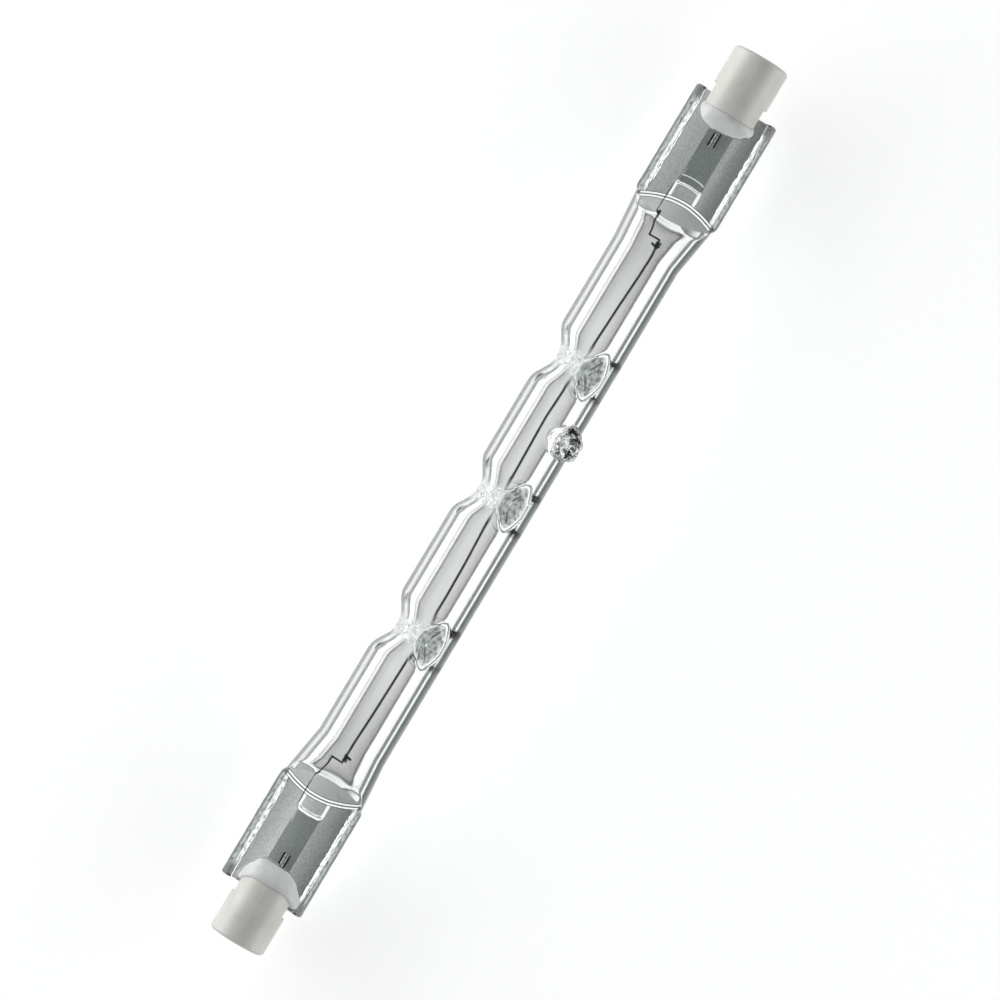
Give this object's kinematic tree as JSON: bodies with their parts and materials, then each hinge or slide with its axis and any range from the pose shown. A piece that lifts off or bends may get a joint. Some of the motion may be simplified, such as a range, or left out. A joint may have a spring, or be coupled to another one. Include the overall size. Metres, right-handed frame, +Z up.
{
  "type": "linear halogen bulb",
  "caption": "Slim quartz tube bulb with crimped sides, a flat pressed seal at each end and round ceramic caps with recessed contacts.",
  "frame": {"origin": "under the middle of the bulb, on the surface that the tube touches", "axes": "+X along the bulb, +Y across it in the plane of the flat seals, +Z up, square to the flat seals"},
  "size_m": [0.1176, 0.0112, 0.0096],
  "materials": {
    "fused_quartz": "clear fused quartz, fire-polished, with pressed seals",
    "tungsten_wire": "drawn tungsten wire, wound to a fine coil, dark grey",
    "molybdenum_wire": "drawn molybdenum wire, satin grey",
    "molybdenum_foil": "etched molybdenum foil, matt grey",
    "steatite": "pressed and fired steatite, unglazed, warm white",
    "cap_cement": "set white cement, slightly rough, a little bluish",
    "nickel_plate": "nickel plated contact, satin"
  },
  "bodies": {
    "root": {"quartz_envelope": "fused_quartz", "filament": "tungsten_wire", "inner_lead_left": "molybdenum_wire", "inner_lead_right": "molybdenum_wire", "seal_foil_left": "molybdenum_foil", "seal_foil_right": "molybdenum_foil", "outer_lead_left": "molybdenum_wire", "outer_lead_right": "molybdenum_wire", "ceramic_cap_left": "steatite", "ceramic_cap_right": "steatite", "cement_left": "cap_cement", "cement_right": "cap_cement", "contact_left": "nickel_plate", "contact_right": "nickel_plate"}
  },
  "joints": []
}
